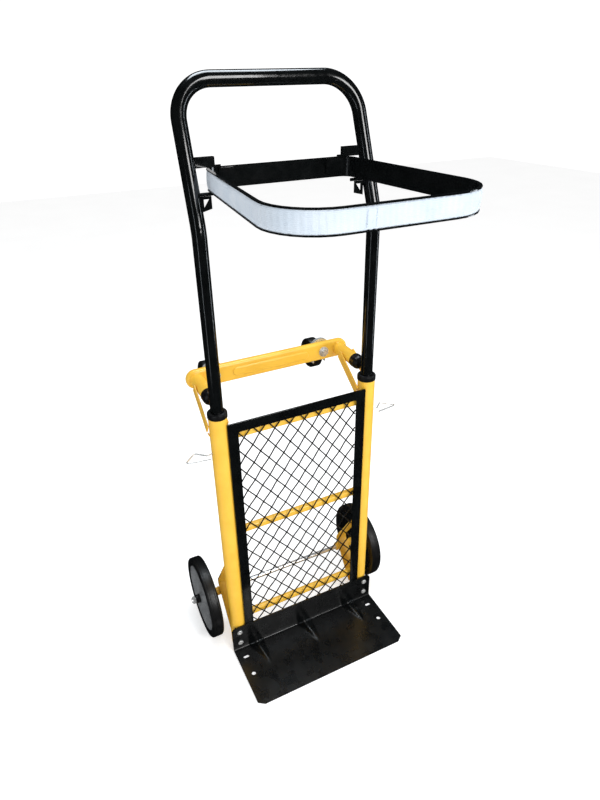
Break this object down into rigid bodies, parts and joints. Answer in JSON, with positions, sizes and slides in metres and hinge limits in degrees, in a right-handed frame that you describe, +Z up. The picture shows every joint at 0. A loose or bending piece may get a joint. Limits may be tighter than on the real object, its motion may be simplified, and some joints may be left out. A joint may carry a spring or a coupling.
{
  "type": "hand truck with bag ring",
  "caption": "Folding hand truck with a telescoping handle, wire mesh back, toe plate, swivel casters and an elastic-banded ring that holds a bag open.",
  "frame": {"origin": "on the floor at the middle of the object's bounding box", "axes": "+X to the viewer's right, +Y backwards towards the wheels and casters, +Z up along the side tubes"},
  "size_m": [0.451, 0.4802, 1.0943],
  "materials": {
    "yellow_paint": "semi-gloss powder coat",
    "black_paint": "high gloss",
    "black_wire": "gloss",
    "black_plastic": "satin",
    "zinc": "bright zinc plate",
    "chrome": "polished",
    "rubber": "matt",
    "grey_steel": "silver-grey satin",
    "elastic": "matt elastic webbing"
  },
  "bodies": {
    "frame": {"arm_cap_left": "black_plastic", "arm_cap_right": "black_plastic", "axle": "chrome", "axle_nut_left": "zinc", "axle_nut_right": "zinc", "axle_sleeve_left": "yellow_paint", "axle_sleeve_right": "yellow_paint", "caster_nut_left": "zinc", "caster_nut_right": "zinc", "caster_stem_left": "zinc", "caster_stem_right": "zinc", "caster_washer_left": "zinc", "caster_washer_right": "zinc", "collar_left": "black_plastic", "collar_right": "black_plastic", "cross_bar_bottom": "yellow_paint", "cross_bar_middle": "yellow_paint", "cross_bar_top": "yellow_paint", "panel_frame": "black_paint", "rear_arm_left": "yellow_paint", "rear_arm_right": "yellow_paint", "rear_cross_bar": "yellow_paint", "side_tube_left": "yellow_paint", "side_tube_right": "yellow_paint", "strut_left_inner": "yellow_paint", "strut_left_outer": "yellow_paint", "strut_right_inner": "yellow_paint", "strut_right_outer": "yellow_paint", "toe_bolt_left_high": "zinc", "toe_bolt_left_low": "zinc", "toe_bolt_right_high": "zinc", "toe_bolt_right_low": "zinc", "toe_plate": "black_paint", "wheel_bracket_left": "yellow_paint", "wheel_bracket_right": "yellow_paint", "wire_mesh": "black_wire"},
    "handle": {"handle_tube": "black_paint", "ring_pivot_left": "zinc", "ring_rest_rod_left": "black_paint", "ring_rest_gusset_left": "black_paint", "ring_pivot_right": "zinc", "ring_rest_rod_right": "black_paint", "ring_rest_gusset_right": "black_paint"},
    "bag_ring": {"ring_hoop": "black_paint", "elastic_band": "elastic", "ring_tab_left": "black_paint", "ring_tab_right": "black_paint"},
    "lock_pin_left": {"lock_pin_left": "zinc"},
    "wheel_left": {"wheel_tyre_left": "rubber", "wheel_hub_left": "grey_steel"},
    "caster_left": {"caster_fork_left": "zinc", "caster_axle_left": "zinc"},
    "caster_wheel_left": {"caster_wheel_left": "rubber"},
    "lock_pin_right": {"lock_pin_right": "zinc"},
    "wheel_right": {"wheel_tyre_right": "rubber", "wheel_hub_right": "grey_steel"},
    "caster_right": {"caster_fork_right": "zinc", "caster_axle_right": "zinc"},
    "caster_wheel_right": {"caster_wheel_right": "rubber"}
  },
  "joints": [
    {"name": "handle_slide", "type": "slide", "parent": "frame", "child": "handle", "axis": [0, 0, 1], "range_m": [-0.26, 0]},
    {"name": "ring_fold", "type": "hinge", "parent": "handle", "child": "bag_ring", "pos_m": [0, 0.0852, 0.9795], "axis": [-1, 0, 0], "range_deg": [0, 105]},
    {"name": "lock_pin_left_slide", "type": "slide", "parent": "frame", "child": "lock_pin_left", "axis": [1, 0, 0], "range_m": [-0.02, 0.006]},
    {"name": "wheel_left_spin", "type": "hinge", "parent": "frame", "child": "wheel_left", "pos_m": [-0.195, 0.1272, 0.0884], "axis": [1, 0, 0], "continuous": true},
    {"name": "caster_left_swivel", "type": "hinge", "parent": "frame", "child": "caster_left", "pos_m": [-0.1145, 0.1757, 0.5985], "axis": [0, 1, 0], "continuous": true},
    {"name": "caster_wheel_left_spin", "type": "hinge", "parent": "caster_left", "child": "caster_wheel_left", "pos_m": [-0.1145, 0.2092, 0.576], "axis": [1, 0, 0], "continuous": true},
    {"name": "lock_pin_right_slide", "type": "slide", "parent": "frame", "child": "lock_pin_right", "axis": [-1, 0, 0], "range_m": [-0.02, 0.006]},
    {"name": "wheel_right_spin", "type": "hinge", "parent": "frame", "child": "wheel_right", "pos_m": [0.195, 0.1272, 0.0884], "axis": [1, 0, 0], "continuous": true},
    {"name": "caster_right_swivel", "type": "hinge", "parent": "frame", "child": "caster_right", "pos_m": [0.1145, 0.1757, 0.5985], "axis": [0, 1, 0], "continuous": true},
    {"name": "caster_wheel_right_spin", "type": "hinge", "parent": "caster_right", "child": "caster_wheel_right", "pos_m": [0.1145, 0.2092, 0.576], "axis": [1, 0, 0], "continuous": true}
  ]
}
